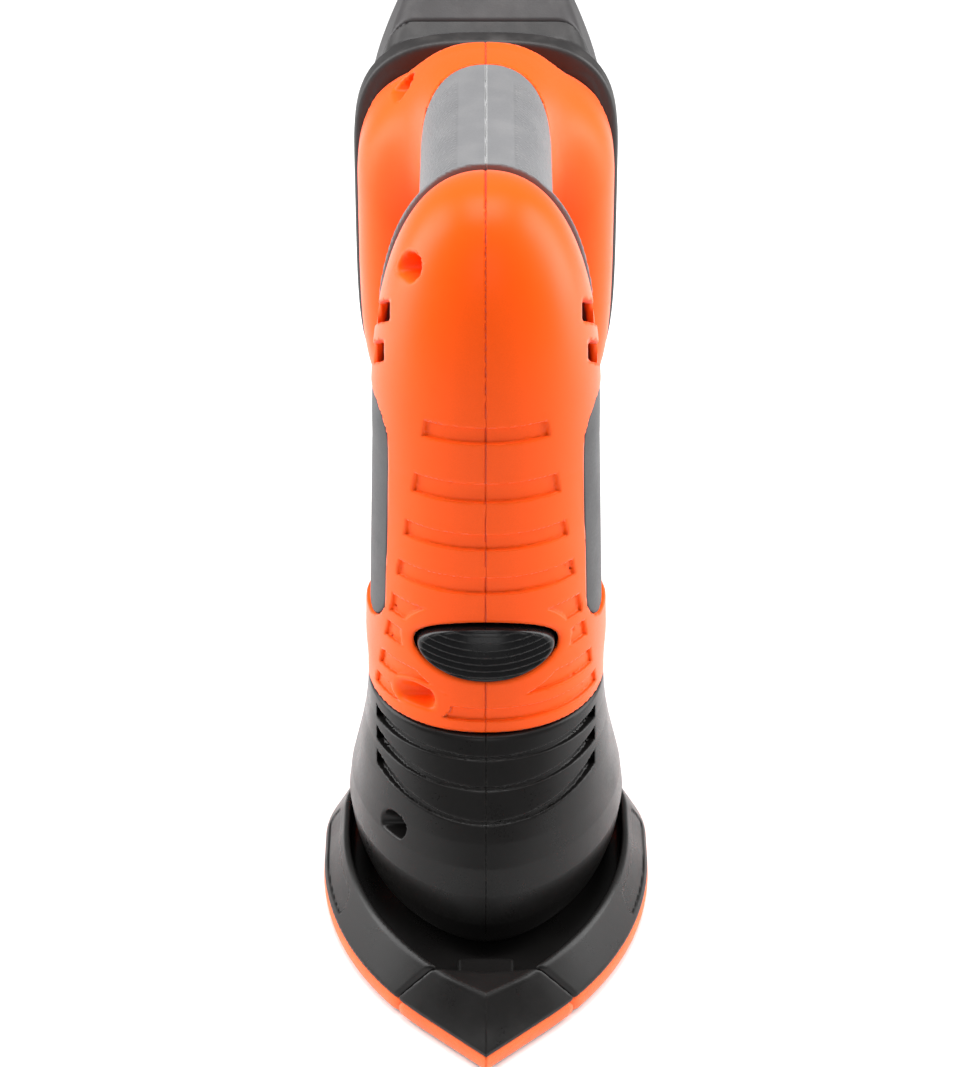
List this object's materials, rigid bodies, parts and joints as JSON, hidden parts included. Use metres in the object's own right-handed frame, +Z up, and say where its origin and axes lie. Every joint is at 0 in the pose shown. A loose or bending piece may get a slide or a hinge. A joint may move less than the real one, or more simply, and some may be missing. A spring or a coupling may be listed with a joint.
{
  "type": "cordless detail sander",
  "caption": "Detail sander head with a pointed pad on a pistol-shaped cordless power unit with a slide-on battery.",
  "frame": {"origin": "on the motor axis, at the underside of the sanding pad", "axes": "+Z up along the motor axis, -Y towards the pointed tip, +Y towards the battery, +X to the right seen from the tip"},
  "size_m": [0.0944, 0.278, 0.226],
  "materials": {
    "orange_shell": "fine satin moulded plastic",
    "grey_overmold": "soft-touch overmould, stippled",
    "grey_panel": "smooth moulded",
    "screw_steel": "zinc plated",
    "black_ring": "moulded",
    "black_button": "ridged moulded plastic",
    "bright_steel": "ground",
    "motor_steel": "drawn steel",
    "magnet": "ferrite",
    "dark_plastic": "moulded",
    "carbon": "pressed carbon",
    "copper": "bare metal",
    "red_lead": "insulated wire",
    "black_lead": "insulated wire",
    "counterweight_iron": "cast and tumbled",
    "black_trigger": "moulded",
    "spring_steel": "wire",
    "black_shell": "satin moulded plastic",
    "neck_alloy": "die cast",
    "post_rubber": "moulded",
    "orange_foam": "closed-cell foam",
    "hook_nylon": "hook tape",
    "battery_front": "moulded",
    "battery_rear": "moulded",
    "cell_wrap": "heat-shrink wrap over a metal can"
  },
  "bodies": {
    "power_unit": {"housing_left": "orange_shell", "housing_right": "orange_shell", "grip_overmold_left": "grey_overmold", "grip_overmold_right": "grey_overmold", "side_panel_left": "grey_panel", "side_panel_right": "grey_panel", "housing_screws": "screw_steel", "socket_ring": "black_ring", "motor_can": "motor_steel", "motor_magnets": "magnet", "motor_endcap": "dark_plastic", "carbon_brushes": "carbon", "motor_bearings": "bright_steel", "switch_body": "dark_plastic", "terminal_block": "dark_plastic", "tool_blades": "copper", "positive_lead": "red_lead", "negative_lead": "black_lead"},
    "rotor": {"rotor_shaft": "bright_steel", "armature": "motor_steel", "commutator": "copper", "cooling_fan": "dark_plastic", "drive_coupling": "counterweight_iron"},
    "release": {"release_button": "black_button", "latch_ring": "bright_steel"},
    "trigger": {"trigger": "black_trigger", "trigger_spring": "spring_steel"},
    "selector": {"direction_selector": "dark_plastic"},
    "battery": {"battery_front_shell": "battery_front", "battery_rear_shell": "battery_rear", "battery_cells": "cell_wrap", "cell_holder": "dark_plastic", "battery_terminals": "copper"},
    "latch_key": {"battery_latch": "black_trigger"},
    "head": {"nose_left": "black_shell", "nose_right": "black_shell", "nose_screws": "screw_steel", "neck": "neck_alloy", "bearing_carrier": "neck_alloy", "shaft_bearings": "bright_steel", "flex_posts": "post_rubber"},
    "eccentric": {"eccentric_shaft": "bright_steel", "drive_socket": "dark_plastic", "counterweight": "counterweight_iron", "retaining_ring": "bright_steel"},
    "sanding_base": {"platen": "black_shell", "platen_bearing": "bright_steel", "foam_pad": "orange_foam", "hook_face": "hook_nylon", "tip_carrier": "black_shell", "tip_foam": "orange_foam", "tip_hook_face": "hook_nylon", "tip_screw": "screw_steel"}
  },
  "joints": [
    {"name": "motor_spin", "type": "hinge", "parent": "power_unit", "child": "rotor", "pos_m": [0, 0, 0.14], "axis": [0, 0, 1], "continuous": true},
    {"name": "release_press", "type": "slide", "parent": "power_unit", "child": "release", "axis": [0, 1, 0], "range_m": [0, 0.004], "stiffness_N_per_m": 800, "springref_m": -0.004},
    {"name": "trigger_pull", "type": "slide", "parent": "power_unit", "child": "trigger", "axis": [0, 0, 1], "range_m": [0, 0.006], "stiffness_N_per_m": 500, "springref_m": -0.006, "deforming": ["trigger_spring"]},
    {"name": "direction_slide", "type": "slide", "parent": "power_unit", "child": "selector", "axis": [1, 0, 0], "range_m": [-0.003, 0.003]},
    {"name": "battery_slide", "type": "slide", "parent": "power_unit", "child": "battery", "axis": [0, 0, -1], "range_m": [0, 0.115]},
    {"name": "battery_latch_press", "type": "slide", "parent": "battery", "child": "latch_key", "axis": [0, 1, 0], "range_m": [0, 0.003], "stiffness_N_per_m": 800, "springref_m": -0.003},
    {"name": "head_release", "type": "slide", "parent": "power_unit", "child": "head", "axis": [0, 0, -1], "range_m": [0, 0.06]},
    {"name": "eccentric_spin", "type": "hinge", "parent": "head", "child": "eccentric", "pos_m": [0, 0, 0.06], "axis": [0, 0, 1], "continuous": true},
    {"name": "platen_orbit", "type": "hinge", "parent": "eccentric", "child": "sanding_base", "pos_m": [0, -0.0008, 0.02], "axis": [0, 0, 1], "continuous": true}
  ],
  "couplings": [
    {"joint": "eccentric_spin", "follows": "motor_spin", "ratio": 1},
    {"joint": "platen_orbit", "follows": "motor_spin", "ratio": -1}
  ]
}
